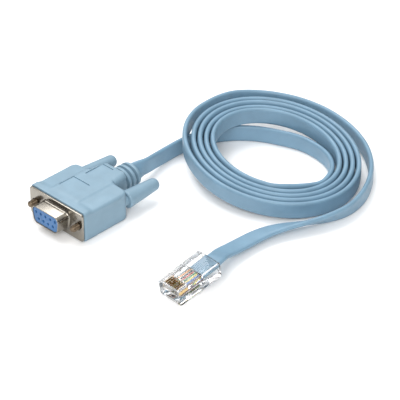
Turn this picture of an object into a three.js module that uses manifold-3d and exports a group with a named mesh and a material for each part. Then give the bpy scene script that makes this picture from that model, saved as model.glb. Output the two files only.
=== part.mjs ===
// Console cable: a moulded nine-way socket connector, a flat cable in a loose coil,
// and a clear eight-way modular plug. Millimetres, +Z up, standing on z = 0.
// X runs across the socket connector, and Y from its mating side back to the cable.

import * as THREE from "three";
import { mergeVertices } from "three/addons/utils/BufferGeometryUtils.js";
import Module from "manifold-3d";

const wasm = await Module();
wasm.setup();

// Clearances
const GAP = 0.3;
const SMALL_GAP = 0.12;
const WELD_TOLERANCE = 1e-4;

// Spacing of the two screws, and what lies outside them
const SCREW_SPACING = 24.99;
const FLANGE_END = 2.91;
const HOOD_SIDE = 0.4;

// Moulded hood
const HOOD_WIDTH = SCREW_SPACING + 2 * (FLANGE_END + HOOD_SIDE);
const HOOD_HEIGHT = 13.6;
const HOOD_BACK = 25;
const HOOD_EDGE_RADIUS = 1.4;
const HOOD_BACK_CORNER = 3;
const AXIS_HEIGHT = HOOD_HEIGHT / 2;
const RIDGE_WIDTH = 16.5;
const RIDGE_FRONT = 12;
const RIDGE_RISE = 0.5;
const NECK_BACK = 33;
const NECK_BACK_WIDTH = 13.4;
const NECK_BACK_HEIGHT = 12.6;
const NECK_ROUND = 2.4;
const LABEL_DEPTH = 0.35;
const FRONT_LABEL = { left: -7.4, right: 2.4, front: 8.3, back: 16.5 };
const REAR_LABEL = { left: -5.6, right: 0.8, front: 21.2, back: 31 };

// Strain relief, part of the hood's moulding
const BOOT_WIDTH = 11.6;
const BOOT_HEIGHT = 9.6;
const BOOT_BACK = 42;
const BOOT_END_ROUND = 0.8;
const GROOVE_COUNT = 3;
const GROOVE_FIRST = 33.9;
const GROOVE_PITCH = 2.6;
const GROOVE_WIDTH = 1;
const GROOVE_DEPTH = 1.1;

// Metal front shell of the socket connector
const FLANGE_WIDTH = SCREW_SPACING + 2 * FLANGE_END;
const FLANGE_HEIGHT = 12.55;
const FLANGE_THICKNESS = 0.9;
const FLANGE_CORNER = 1;
const SHELL_WIDTH = 16.33;
const SHELL_HEIGHT = 7.9;
const SHELL_RADIUS = 2.4;
const SHELL_REACH = 5.9;
const SHELL_WALL = 0.45;
const SHELL_SLANT = THREE.MathUtils.degToRad(10);

// Socket insert and its contacts
const INSERT_RECESS = 0.25;
const INSERT_DEPTH = 9;
const CONTACT_PITCH = 2.77;
const CONTACT_ROW_PITCH = 2.84;
const TOP_ROW_COUNT = 5;
const BOTTOM_ROW_COUNT = 4;
const MOUTH_DIAMETER = 1.3;
const MOUTH_DEPTH = 0.9;
const CONTACT_DIAMETER = 1.8;
const CONTACT_BORE = 1.1;
const CONTACT_LENGTH = 6.5;
const CONTACT_BORE_DEPTH = 5;

// Thumbscrews
const SCREW_HOLE = 3.3;
const SCREW_DIAMETER = 2.84;
const SCREW_TIP_REACH = 3.2;
const GRIP_FRONT_DIAMETER = 7.6;
const GRIP_BACK_DIAMETER = 5.4;
const GRIP_STANDOFF = 1.1;
const GRIP_BACK = 44;
const GRIP_END_ROUND = 2.2;
const STEM_DIAMETER = 4.8;
const STEM_SEAT_DEPTH = 3;
const SCREW_SOCKET_DEPTH = 8;

// Flat cable
const CABLE_WIDTH = 7.5;
const CABLE_THICKNESS = 2.1;
const CABLE_STEP = 5.5;

// Coil: oval turns standing on edge, lifted on one side by the cable that runs in below them
const COIL_TURNS = 5;
const COIL_PITCH = 2.95;
const COIL_CENTRE = new THREE.Vector2(33.8, 90.9);
const COIL_HALF_LENGTH = 39.7;
const COIL_HALF_BREADTH = 35.4;
const COIL_GROOVE_DEPTH = 0.7;
const COIL_LIFT = 9.8;
const COIL_LIFT_DIRECTION = THREE.MathUtils.degToRad(170);
const COIL_HALF_SIDES = 26;

// Route of the cable's centre from the strain relief to the inside of the coil
const SOCKET_LEAD_ROUTE = [
  [0, 45.5, 6.7],
  [-0.7, 51.5, 5.8],
  [-1.9, 58, 4.9],
  [-3, 65, 4.1],
  [-3.4, 73, 3.8],
  [-2.6, 81, 3.8],
  [0.6, 89.5, 3.8],
  [6, 97.5, 3.8],
  [13.2, 103.6, 3.8],
  [21.8, 107.8, 3.8],
  [31, 110.2, 3.8],
  [40.1, 109.8, 3.8],
  [47.8, 106.8, 3.8],
  [53.8, 101.4, 3.8],
  [57, 95.4, 3.8],
  [57.6, 89.4, 3.8],
  [56.2, 83.6, 3.8],
];

// Route of the cable's centre from the outside of the coil to the modular plug
const PLUG_LEAD_ROUTE = [
  [-5.6, 100.5, 13.3],
  [-4.2, 107.4, 12.6],
  [0.4, 115, 11.6],
  [7.8, 122.3, 10.3],
  [17, 127.8, 8.9],
  [28.2, 131, 7.2],
  [41, 130.4, 5.6],
  [53.2, 126, 4.5],
  [63.6, 118.2, 3.9],
  [71.6, 108, 3.8],
  [76.6, 97.2, 3.8],
  [78.6, 86.2, 3.6],
  [77.2, 76.6, 3.2],
  [73.4, 67.8, 2.5],
  [68.8, 60.2, 1.9],
  [66, 53, 1.5],
  [64.7, 46, 1.3],
  [64, 39, 1.4],
  [63.9, 33, 2.2],
  [64.7, 27.4, 4],
];

// Modular plug, measured in its own frame: front at 0, underside at 0, contacts up
const PLUG_WIDTH = 11.68;
const PLUG_HEIGHT = 6.6;
const PLUG_LENGTH = 21.4;
const PLUG_EDGE = 0.35;
const PLUG_FRONT = new THREE.Vector2(66, -1.6);
const PLUG_YAW = THREE.MathUtils.degToRad(-2.5);
const JACKET_ROOM_WIDTH = 8.5;
const JACKET_ROOM_HEIGHT = 3.4;
const JACKET_CENTRE = 3.35;
const JACKET_REACH = 8;
const CONDUCTOR_DIAMETER = 0.66;
const CONDUCTOR_FRONT = 1.7;
const CONDUCTOR_CLEARANCE = 0.2;
const PLUG_CONTACTS = 8;
const PLUG_CONTACT_PITCH = 1.02;
const BLADE_THICKNESS = 0.36;
const BLADE_LENGTH = 4.6;
const BLADE_FRONT = 1;
const BLADE_TOP_SETBACK = 0.45;

// Latch under the plug
const LATCH_ROOT = 1.6;
const LATCH_REACH = 14.8;
const LATCH_DROP = 2.6;
const LATCH_THICKNESS = 0.9;
const LATCH_ROOT_WIDTH = 6.3;
const LATCH_TAIL_WIDTH = 3.3;
const LATCH_SHOULDER = 7.4;
const LATCH_RECESS_DEPTH = 1.15;
const PLUG_PITCH = Math.atan2(LATCH_DROP, LATCH_REACH);

// Faces on round pieces
const ROUND_SIDES = 24;
const SMALL_ROUND_SIDES = 10;

const screwCentres = [-SCREW_SPACING / 2, SCREW_SPACING / 2];
const flangeBack = FLANGE_THICKNESS;
const hoodFront = flangeBack + GAP;
const insertBack = INSERT_DEPTH - SHELL_REACH;

const paint = {
  moulding: { color: 0x93b9d3, roughness: 0.55, metalness: 0 },
  cable: { color: 0x7fabc9, roughness: 0.45, metalness: 0 },
  nickel: { color: 0xb9b5aa, roughness: 0.28, metalness: 1 },
  steel: { color: 0x9c9488, roughness: 0.35, metalness: 1 },
  insert: { color: 0x3f78ba, roughness: 0.5, metalness: 0 },
  gold: { color: 0xcf9f4b, roughness: 0.3, metalness: 1 },
  clear: { color: 0xe8ecee, roughness: 0.12, metalness: 0, transparent: true, opacity: 0.4 },
};

// Colours of the eight insulated conductors, from one side of the plug to the other
const CONDUCTOR_COLOURS = [
  0x7c8790, 0xd98a3c, 0x26282b, 0xb8352f, 0x3f8f4f, 0xe2cf57, 0x2f61a8, 0x7a5136,
];

// Turns a closed geometry into a solid for joining and cutting
function solidOf(geometry) {
  const bare = geometry.index ? geometry.toNonIndexed() : geometry.clone();
  bare.deleteAttribute("normal");
  bare.deleteAttribute("uv");
  const welded = mergeVertices(bare, WELD_TOLERANCE);
  const corners = welded.index.array;
  const kept = [];
  for (let i = 0; i < corners.length; i += 3) {
    const [a, b, c] = [corners[i], corners[i + 1], corners[i + 2]];
    if (a !== b && b !== c && c !== a) {
      kept.push(a, b, c);
    }
  }
  return new wasm.Manifold(new wasm.Mesh({
    numProp: 3,
    vertProperties: new Float32Array(welded.attributes.position.array),
    triVerts: new Uint32Array(kept),
  }));
}

function geometryOf(solid) {
  const mesh = solid.getMesh();
  const geometry = new THREE.BufferGeometry();
  geometry.setAttribute("position", new THREE.BufferAttribute(new Float32Array(mesh.vertProperties), 3));
  geometry.setIndex(new THREE.BufferAttribute(new Uint32Array(mesh.triVerts), 1));
  geometry.computeVertexNormals();
  return geometry;
}

function piece(name, shape, look, place = [0, 0, 0]) {
  const geometry = shape.isBufferGeometry ? shape : geometryOf(shape);
  const mesh = new THREE.Mesh(geometry, new THREE.MeshStandardMaterial(look));
  mesh.name = name;
  mesh.position.set(...place);
  return mesh;
}

// A block between two corners
function block(low, high) {
  const size = high.map((value, axis) => value - low[axis]);
  const middle = high.map((value, axis) => (value + low[axis]) / 2);
  return solidOf(new THREE.BoxGeometry(...size).translate(...middle));
}

// A closed outline with rounded corners
function roundedOutline(corners, radius) {
  const outline = new THREE.Shape();
  corners.forEach((corner, i) => {
    const before = corners[(i + corners.length - 1) % corners.length];
    const after = corners[(i + 1) % corners.length];
    const start = corner.clone().add(before.clone().sub(corner).setLength(radius));
    const end = corner.clone().add(after.clone().sub(corner).setLength(radius));
    if (i === 0) {
      outline.moveTo(start.x, start.y);
    } else {
      outline.lineTo(start.x, start.y);
    }
    outline.quadraticCurveTo(corner.x, corner.y, end.x, end.y);
  });
  outline.closePath();
  return outline;
}

function rectangleOutline(width, height, radius) {
  const [x, y] = [width / 2, height / 2];
  return roundedOutline([
    new THREE.Vector2(-x, -y), new THREE.Vector2(x, -y), new THREE.Vector2(x, y), new THREE.Vector2(-x, y),
  ], radius);
}

// The socket connector's D outline, wide side up
function dOutline(width, height, radius) {
  const narrowing = height * Math.tan(SHELL_SLANT);
  const [x, y] = [width / 2, height / 2];
  return roundedOutline([
    new THREE.Vector2(-x + narrowing, -y), new THREE.Vector2(x - narrowing, -y),
    new THREE.Vector2(x, y), new THREE.Vector2(-x, y),
  ], radius);
}

// Extrudes an X-Z outline along Y, centred on the connector's axis height
function alongY(outline, front, back, curveSegments = 4, steps = 1) {
  return new THREE.ExtrudeGeometry(outline, { depth: back - front, bevelEnabled: false, curveSegments, steps })
    .rotateX(Math.PI / 2)
    .translate(0, back, AXIS_HEIGHT);
}

// Extrudes an X-Y outline upwards
function upwards(outline, bottom, top, curveSegments = 4) {
  return new THREE.ExtrudeGeometry(outline, { depth: top - bottom, bevelEnabled: false, curveSegments })
    .translate(0, 0, bottom);
}

// A turned piece about the Y direction from [radius, y] pairs that start and end on the axis
function turned(profile, sides = ROUND_SIDES) {
  return new THREE.LatheGeometry(profile.map(([radius, y]) => new THREE.Vector2(radius, y)), sides);
}

function rod(diameter, front, back, sides = ROUND_SIDES) {
  const radius = diameter / 2;
  return solidOf(turned([[0, front], [radius, front], [radius, back], [0, back]], sides));
}

// The box of the hood, with upright corners rounded at the back
function hoodBox() {
  const section = solidOf(alongY(rectangleOutline(HOOD_WIDTH, HOOD_HEIGHT, HOOD_EDGE_RADIUS), hoodFront, HOOD_BACK));
  const x = HOOD_WIDTH / 2;
  const inFront = hoodFront - HOOD_BACK_CORNER * 2;
  const plan = roundedOutline([
    new THREE.Vector2(-x, inFront), new THREE.Vector2(x, inFront),
    new THREE.Vector2(x, HOOD_BACK), new THREE.Vector2(-x, HOOD_BACK),
  ], HOOD_BACK_CORNER);
  return section.intersect(solidOf(upwards(plan, -1, HOOD_HEIGHT + 1)));
}

// The raised ridge down the middle, which narrows to the strain relief behind the box
function ridgeAndNeck() {
  const height = HOOD_HEIGHT + RIDGE_RISE;
  const steps = 14;
  const outline = rectangleOutline(RIDGE_WIDTH, height, HOOD_EDGE_RADIUS * 2);
  const geometry = alongY(outline, RIDGE_FRONT, NECK_BACK, 4, steps);
  const points = geometry.attributes.position;
  for (let i = 0; i < points.count; i += 1) {
    const narrowing = THREE.MathUtils.smoothstep(points.getY(i), HOOD_BACK - HOOD_BACK_CORNER, NECK_BACK);
    const lowering = THREE.MathUtils.smoothstep(points.getY(i), NECK_BACK - NECK_ROUND, NECK_BACK);
    const front = THREE.MathUtils.smoothstep(points.getY(i), RIDGE_FRONT, RIDGE_FRONT + HOOD_BACK_CORNER);
    const rise = (points.getZ(i) - AXIS_HEIGHT) * THREE.MathUtils.lerp(1, NECK_BACK_HEIGHT / height, lowering);
    const low = -AXIS_HEIGHT;
    const high = AXIS_HEIGHT + THREE.MathUtils.lerp(-RIDGE_RISE, RIDGE_RISE / 2, front);
    points.setX(i, points.getX(i) * THREE.MathUtils.lerp(1, NECK_BACK_WIDTH / RIDGE_WIDTH, narrowing));
    points.setZ(i, AXIS_HEIGHT + THREE.MathUtils.clamp(rise, low, high));
  }
  return solidOf(geometry);
}

// The oval strain relief with its ring grooves
function strainRelief() {
  const radius = BOOT_WIDTH / 2;
  const inner = radius - GROOVE_DEPTH;
  const start = HOOD_BACK;
  const profile = [[0, start], [radius, start]];
  for (let i = 0; i < GROOVE_COUNT; i += 1) {
    const front = GROOVE_FIRST + i * GROOVE_PITCH;
    const back = front + GROOVE_WIDTH;
    profile.push([radius, front], [inner, front], [inner, back], [radius, back]);
  }
  profile.push([radius, BOOT_BACK - BOOT_END_ROUND], [radius - BOOT_END_ROUND, BOOT_BACK], [0, BOOT_BACK]);
  return solidOf(turned(profile).scale(1, 1, BOOT_HEIGHT / BOOT_WIDTH).translate(0, 0, AXIS_HEIGHT));
}

function labelCut(label, top) {
  return block([label.left, label.front, top - LABEL_DEPTH], [label.right, label.back, top + HOOD_HEIGHT]);
}

function mouldedHood() {
  let hood = hoodBox().add(ridgeAndNeck()).add(strainRelief());
  const ridgeTop = HOOD_HEIGHT + RIDGE_RISE / 2;
  hood = hood.subtract(labelCut(FRONT_LABEL, HOOD_HEIGHT)).subtract(labelCut(REAR_LABEL, ridgeTop));
  for (const x of screwCentres) {
    const bore = rod(SCREW_HOLE, 0, HOOD_BACK + 1).translate(x, 0, AXIS_HEIGHT);
    const seat = rod(STEM_DIAMETER + 2 * GAP, HOOD_BACK - STEM_SEAT_DEPTH, HOOD_BACK + 1);
    hood = hood.subtract(bore).subtract(seat.translate(x, 0, AXIS_HEIGHT));
  }
  const pocket = dOutline(
    SHELL_WIDTH - 2 * SHELL_WALL, SHELL_HEIGHT - 2 * SHELL_WALL, SHELL_RADIUS - SHELL_WALL,
  );
  return hood.subtract(solidOf(alongY(pocket, 0, insertBack + GAP)));
}

// Flange plate with the D-shaped shell drawn out of it
function frontShell() {
  const plate = solidOf(alongY(rectangleOutline(FLANGE_WIDTH, FLANGE_HEIGHT, FLANGE_CORNER), 0, flangeBack));
  const drawn = solidOf(alongY(dOutline(SHELL_WIDTH, SHELL_HEIGHT, SHELL_RADIUS), -SHELL_REACH, flangeBack / 2));
  const inside = dOutline(
    SHELL_WIDTH - 2 * SHELL_WALL, SHELL_HEIGHT - 2 * SHELL_WALL, SHELL_RADIUS - SHELL_WALL,
  );
  let shell = plate.add(drawn).subtract(solidOf(alongY(inside, -SHELL_REACH - 1, flangeBack + 1)));
  for (const x of screwCentres) {
    shell = shell.subtract(rod(SCREW_HOLE, -1, flangeBack + 1).translate(x, 0, AXIS_HEIGHT));
  }
  return shell;
}

// Places of the nine contacts, the row of five above the row of four
function contactPlaces() {
  const row = (count, z) => Array.from({ length: count }, (_, i) => [(i - (count - 1) / 2) * CONTACT_PITCH, z]);
  return [
    ...row(TOP_ROW_COUNT, AXIS_HEIGHT + CONTACT_ROW_PITCH / 2),
    ...row(BOTTOM_ROW_COUNT, AXIS_HEIGHT - CONTACT_ROW_PITCH / 2),
  ];
}

const insertFront = -SHELL_REACH + INSERT_RECESS;
const contactFront = insertFront + MOUTH_DEPTH;

function socketInsert() {
  const inset = SHELL_WALL + SMALL_GAP;
  const outline = dOutline(SHELL_WIDTH - 2 * inset, SHELL_HEIGHT - 2 * inset, SHELL_RADIUS - inset);
  let insert = solidOf(alongY(outline, insertFront, insertBack));
  for (const [x, z] of contactPlaces()) {
    const mouth = rod(MOUTH_DIAMETER, insertFront - 1, contactFront + 1, SMALL_ROUND_SIDES);
    const chamber = rod(CONTACT_DIAMETER + 2 * SMALL_GAP, contactFront, insertBack + 1, SMALL_ROUND_SIDES);
    insert = insert.subtract(mouth.translate(x, 0, z)).subtract(chamber.translate(x, 0, z));
  }
  return insert;
}

function socketContact() {
  const front = contactFront + SMALL_GAP;
  const [outer, bore] = [CONTACT_DIAMETER / 2, CONTACT_BORE / 2];
  const floor = front + CONTACT_BORE_DEPTH;
  const back = front + CONTACT_LENGTH;
  const profile = [[0, floor], [bore, floor], [bore, front], [outer, front], [outer, back], [0, back]];
  return turned(profile, SMALL_ROUND_SIDES);
}

// Moulded grip with a stem that seats in the hood and a hole for the screw
function thumbscrewGrip() {
  const [wide, narrow] = [GRIP_FRONT_DIAMETER / 2, GRIP_BACK_DIAMETER / 2];
  const stem = STEM_DIAMETER / 2;
  const stemFront = HOOD_BACK - STEM_SEAT_DEPTH + GAP;
  const gripFront = HOOD_BACK + GRIP_STANDOFF;
  const hole = SCREW_DIAMETER / 2 + GAP;
  const holeFloor = gripFront + SCREW_SOCKET_DEPTH;
  const roundStart = GRIP_BACK - GRIP_END_ROUND;
  const profile = [
    [0, holeFloor], [hole, holeFloor], [hole, stemFront], [stem, stemFront], [stem, gripFront],
    [wide - BOOT_END_ROUND / 2, gripFront], [wide, gripFront + BOOT_END_ROUND],
  ];
  const arcSteps = 4;
  for (let i = 0; i <= arcSteps; i += 1) {
    const angle = (i / arcSteps) * (Math.PI / 2);
    const radius = narrow - GRIP_END_ROUND * (1 - Math.cos(angle));
    profile.push([radius, roundStart + GRIP_END_ROUND * Math.sin(angle)]);
  }
  profile.push([0, GRIP_BACK]);
  return turned(profile);
}

function jackscrew() {
  const front = -SCREW_TIP_REACH;
  const back = HOOD_BACK + GRIP_STANDOFF + SCREW_SOCKET_DEPTH - GAP;
  const radius = SCREW_DIAMETER / 2;
  const chamfer = radius / 3;
  return turned([[0, front], [radius - chamfer, front], [radius, front + chamfer], [radius, back], [0, back]]);
}

// A route whose flat section can turn from standing on edge (0) to lying flat (1)
class FlatCableRoute extends THREE.CatmullRomCurve3 {
  constructor(points, flatness) {
    super(points, false, "centripetal");
    this.flatness = flatness;
    this.arcLengthDivisions = 800;
  }

  computeFrenetFrames(segments) {
    const frames = { tangents: [], normals: [], binormals: [] };
    for (let i = 0; i <= segments; i += 1) {
      const tangent = this.getTangentAt(i / segments);
      const sideways = new THREE.Vector3(-tangent.y, tangent.x, 0).normalize();
      const upright = new THREE.Vector3().crossVectors(tangent, sideways);
      const turn = this.flatness(i / segments) * (Math.PI / 2);
      const normal = upright.multiplyScalar(Math.cos(turn)).addScaledVector(sideways, Math.sin(turn));
      frames.tangents.push(tangent);
      frames.normals.push(normal);
      frames.binormals.push(new THREE.Vector3().crossVectors(tangent, normal));
    }
    return frames;
  }
}

// The cable's flat section with rounded edges, wide along the route's normal
function cableSection() {
  const [x, y] = [CABLE_WIDTH / 2, CABLE_THICKNESS / 2];
  const round = y * 0.75;
  const shoulder = y * 0.8;
  return new THREE.Shape([
    new THREE.Vector2(-x, -y + shoulder), new THREE.Vector2(-x + round, -y),
    new THREE.Vector2(x - round, -y), new THREE.Vector2(x, -y + shoulder),
    new THREE.Vector2(x, y - shoulder), new THREE.Vector2(x - round, y),
    new THREE.Vector2(-x + round, y), new THREE.Vector2(-x, y - shoulder),
  ]);
}

function flatCable(points, flatness) {
  const route = new FlatCableRoute(points, flatness);
  const steps = Math.round(route.getLength() / CABLE_STEP);
  return new THREE.ExtrudeGeometry(cableSection(), { steps, bevelEnabled: false, extrudePath: route });
}

function socketLead() {
  const start = new THREE.Vector3(0, BOOT_BACK + GAP + SMALL_GAP, AXIS_HEIGHT);
  const points = [start, ...SOCKET_LEAD_ROUTE.map((place) => new THREE.Vector3(...place))];
  const turnStart = -0.04;
  const turnEnd = 0.06;
  return flatCable(points, (u) => 1 - THREE.MathUtils.smoothstep(u, turnStart, turnEnd));
}

// Maps a place in the plug's own frame to the model
const plugMatrix = new THREE.Matrix4()
  .makeTranslation(PLUG_FRONT.x, PLUG_FRONT.y, 0)
  .multiply(new THREE.Matrix4().makeRotationZ(PLUG_YAW))
  .multiply(new THREE.Matrix4().makeRotationX(PLUG_PITCH));

function plugPlace(x, y, z) {
  return new THREE.Vector3(x, y, z).applyMatrix4(plugMatrix);
}

function plugLead() {
  const points = [
    ...PLUG_LEAD_ROUTE.map((place) => new THREE.Vector3(...place)),
    plugPlace(0, PLUG_LENGTH + JACKET_REACH / 3, JACKET_CENTRE),
    plugPlace(0, PLUG_LENGTH - JACKET_REACH / 2, JACKET_CENTRE),
    plugPlace(0, PLUG_LENGTH - JACKET_REACH, JACKET_CENTRE),
  ];
  const turnStart = 0.43;
  const turnEnd = 0.75;
  return flatCable(points, (u) => THREE.MathUtils.smoothstep(u, turnStart, turnEnd));
}

// An upright oval ring between two distances inside the coil's outer oval
function ovalRing(inset, thickness, bottom, top) {
  const ring = new THREE.Shape();
  ring.absellipse(0, 0, COIL_HALF_LENGTH - inset, COIL_HALF_BREADTH - inset, 0, 2 * Math.PI);
  const bore = new THREE.Path();
  const inner = inset + thickness;
  bore.absellipse(0, 0, COIL_HALF_LENGTH - inner, COIL_HALF_BREADTH - inner, 0, 2 * Math.PI);
  ring.holes.push(bore);
  return solidOf(upwards(ring, bottom, top, COIL_HALF_SIDES));
}

// The coil as one solid with its bore, its turns showing as ridges on both ends
function cableCoil() {
  const overall = (COIL_TURNS - 1) * COIL_PITCH + CABLE_THICKNESS;
  let coil = ovalRing(0, overall, COIL_GROOVE_DEPTH, CABLE_WIDTH - COIL_GROOVE_DEPTH);
  for (let turn = 0; turn < COIL_TURNS; turn += 1) {
    coil = coil.add(ovalRing(turn * COIL_PITCH, CABLE_THICKNESS, 0, CABLE_WIDTH));
  }
  return coil;
}

// Tilts the coil about its lowest point, so that the far side rises by the lift
function placedCoil() {
  const mesh = piece("cable_coil", cableCoil(), paint.cable);
  const tilt = Math.asin(COIL_LIFT / (2 * COIL_HALF_LENGTH));
  const towards = COIL_LIFT_DIRECTION;
  const hinge = new THREE.Vector3(-Math.sin(towards), Math.cos(towards), 0);
  mesh.quaternion.setFromAxisAngle(hinge, -tilt);
  mesh.position.set(COIL_CENTRE.x, COIL_CENTRE.y, 0);
  mesh.updateMatrixWorld(true);
  const lowest = new THREE.Box3().setFromObject(mesh, true).min.z;
  mesh.position.z = -lowest;
  return mesh;
}

function plugContactPlaces() {
  return Array.from({ length: PLUG_CONTACTS }, (_, i) => (i - (PLUG_CONTACTS - 1) / 2) * PLUG_CONTACT_PITCH);
}

const jacketFront = PLUG_LENGTH - JACKET_REACH;
const bladeBottom = JACKET_CENTRE + CONDUCTOR_DIAMETER / 2 + SMALL_GAP;

// Clear housing with its jacket room, conductor room, contact slots and latch recess
function plugHousing() {
  const half = PLUG_WIDTH / 2;
  const outline = rectangleOutline(PLUG_WIDTH, PLUG_HEIGHT, PLUG_EDGE);
  let housing = solidOf(alongY(outline, 0, PLUG_LENGTH, 2).translate(0, 0, PLUG_HEIGHT / 2 - AXIS_HEIGHT));
  const jacketHalf = JACKET_ROOM_WIDTH / 2;
  housing = housing.subtract(block(
    [-jacketHalf, jacketFront - GAP, JACKET_CENTRE - JACKET_ROOM_HEIGHT / 2],
    [jacketHalf, PLUG_LENGTH + 1, JACKET_CENTRE + JACKET_ROOM_HEIGHT / 2],
  ));
  const roomHalf = ((PLUG_CONTACTS - 1) * PLUG_CONTACT_PITCH + CONDUCTOR_DIAMETER) / 2 + CONDUCTOR_CLEARANCE;
  const roomHeight = CONDUCTOR_DIAMETER / 2 + CONDUCTOR_CLEARANCE;
  housing = housing.subtract(block(
    [-roomHalf, CONDUCTOR_FRONT - GAP, JACKET_CENTRE - roomHeight],
    [roomHalf, jacketFront, JACKET_CENTRE + roomHeight],
  ));
  for (const x of plugContactPlaces()) {
    const slotHalf = BLADE_THICKNESS / 2 + SMALL_GAP;
    housing = housing.subtract(block(
      [x - slotHalf, BLADE_FRONT - SMALL_GAP, JACKET_CENTRE],
      [x + slotHalf, BLADE_FRONT + BLADE_LENGTH + SMALL_GAP, PLUG_HEIGHT + 1],
    ));
  }
  const recessHalf = LATCH_ROOT_WIDTH / 2 + GAP;
  return housing.subtract(block(
    [-recessHalf, LATCH_ROOT - LATCH_THICKNESS - GAP, -1],
    [recessHalf, LATCH_REACH + 1, LATCH_RECESS_DEPTH],
  ).intersect(block([-half, 0, -1], [half, PLUG_LENGTH, LATCH_RECESS_DEPTH])));
}

// Latch strip from its root in the recess down to its tail, narrower behind the shoulder
function plugLatch() {
  const rootTop = LATCH_RECESS_DEPTH - GAP;
  const tailTop = -LATCH_DROP + LATCH_THICKNESS;
  const side = new THREE.Shape([
    new THREE.Vector2(LATCH_ROOT - LATCH_THICKNESS, rootTop - LATCH_THICKNESS / 2),
    new THREE.Vector2(LATCH_ROOT, rootTop - LATCH_THICKNESS),
    new THREE.Vector2(LATCH_REACH, -LATCH_DROP),
    new THREE.Vector2(LATCH_REACH, tailTop),
    new THREE.Vector2(LATCH_ROOT, rootTop),
    new THREE.Vector2(LATCH_ROOT - LATCH_THICKNESS, rootTop),
  ]);
  const strip = new THREE.ExtrudeGeometry(side, { depth: LATCH_ROOT_WIDTH, bevelEnabled: false })
    .rotateY(Math.PI / 2)
    .rotateX(Math.PI / 2)
    .translate(-LATCH_ROOT_WIDTH / 2, 0, 0);
  const [wide, narrow] = [LATCH_ROOT_WIDTH / 2, LATCH_TAIL_WIDTH / 2];
  const plan = new THREE.Shape([
    new THREE.Vector2(-wide, 0), new THREE.Vector2(wide, 0), new THREE.Vector2(wide, LATCH_SHOULDER),
    new THREE.Vector2(narrow, LATCH_SHOULDER + 1), new THREE.Vector2(narrow, LATCH_REACH + 1),
    new THREE.Vector2(-narrow, LATCH_REACH + 1), new THREE.Vector2(-narrow, LATCH_SHOULDER + 1),
    new THREE.Vector2(-wide, LATCH_SHOULDER),
  ]);
  return solidOf(strip).intersect(solidOf(upwards(plan, -LATCH_DROP - 1, PLUG_HEIGHT)));
}

function plugBlade(x) {
  const half = BLADE_THICKNESS / 2;
  return block(
    [x - half, BLADE_FRONT, bladeBottom],
    [x + half, BLADE_FRONT + BLADE_LENGTH, PLUG_HEIGHT - BLADE_TOP_SETBACK],
  );
}

function modularPlug() {
  const plug = new THREE.Group();
  plug.position.set(PLUG_FRONT.x, PLUG_FRONT.y, 0);
  plug.rotation.set(PLUG_PITCH, 0, PLUG_YAW, "ZYX");
  plug.add(piece("plug_housing", plugHousing(), paint.clear));
  plug.add(piece("plug_latch", plugLatch(), paint.clear));
  plugContactPlaces().forEach((x, i) => {
    plug.add(piece(`plug_contact_${i + 1}`, plugBlade(x), paint.gold));
    const wire = rod(CONDUCTOR_DIAMETER, CONDUCTOR_FRONT, jacketFront - GAP, SMALL_ROUND_SIDES);
    const look = { color: CONDUCTOR_COLOURS[i], roughness: 0.5, metalness: 0 };
    plug.add(piece(`conductor_${i + 1}`, wire, look, [x, 0, JACKET_CENTRE]));
  });
  return plug;
}

function socketConnector() {
  const connector = new THREE.Group();
  connector.add(piece("moulded_hood", mouldedHood(), paint.moulding));
  connector.add(piece("front_shell", frontShell(), paint.nickel));
  connector.add(piece("socket_insert", socketInsert(), paint.insert));
  contactPlaces().forEach(([x, z], i) => {
    connector.add(piece(`socket_contact_${i + 1}`, socketContact(), paint.gold, [x, 0, z]));
  });
  ["left", "right"].forEach((side, i) => {
    const place = [screwCentres[i], 0, AXIS_HEIGHT];
    connector.add(piece(`thumbscrew_grip_${side}`, thumbscrewGrip(), paint.moulding, place));
    connector.add(piece(`jackscrew_${side}`, jackscrew(), paint.steel, place));
  });
  return connector;
}

const model = new THREE.Group();
model.add(socketConnector());
model.add(piece("cable_lead_socket", socketLead(), paint.cable));
model.add(placedCoil());
model.add(piece("cable_lead_plug", plugLead(), paint.cable));
model.add(modularPlug());

// The origin lies under the middle of the socket connector
model.position.y = -(GRIP_BACK - SHELL_REACH) / 2;

export default model;
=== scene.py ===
"""Looks of the console cable: the flat cable, the moulded connector and the clear plug, in metres."""

import math

import bmesh
import bpy
import numpy as np
from mathutils import Matrix, Vector


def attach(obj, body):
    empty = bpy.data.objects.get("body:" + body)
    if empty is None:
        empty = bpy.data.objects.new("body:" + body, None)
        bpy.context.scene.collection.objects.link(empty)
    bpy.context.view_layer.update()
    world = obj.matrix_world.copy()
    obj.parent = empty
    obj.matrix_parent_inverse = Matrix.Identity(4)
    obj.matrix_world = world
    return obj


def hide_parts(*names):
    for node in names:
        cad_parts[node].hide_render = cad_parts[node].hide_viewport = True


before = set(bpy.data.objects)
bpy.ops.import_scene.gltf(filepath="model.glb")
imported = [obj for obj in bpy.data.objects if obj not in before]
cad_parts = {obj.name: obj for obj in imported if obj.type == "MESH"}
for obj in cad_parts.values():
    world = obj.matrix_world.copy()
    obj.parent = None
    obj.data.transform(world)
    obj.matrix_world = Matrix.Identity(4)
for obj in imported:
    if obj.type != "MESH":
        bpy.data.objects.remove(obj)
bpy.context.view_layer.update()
MM = 0.001
BODY = "cable"

# The model's origin lies this far behind the socket connector's mating face
ORIGIN_BEHIND_FACE = 19.05

# Camera, fitted to the connector's standard sizes in the photograph
CAMERA_AIM = (26.9, 54.3, 0.0)
CAMERA_AZIMUTH = 44.3
CAMERA_ELEVATION = 34.0
CAMERA_DISTANCE = 781.0
CAMERA_LENS = 172.3
CAMERA_SENSOR = 36.0
CAMERA_CLIP = (0.01, 20)

# Flat cable
CABLE_WIDTH = 7.5
CABLE_THICKNESS = 2.1
CONDUCTORS = 8
CABLE_STEP = 1.6
JACKET_RIPPLE = 0.05
CURVE_SAMPLES = 24

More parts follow.
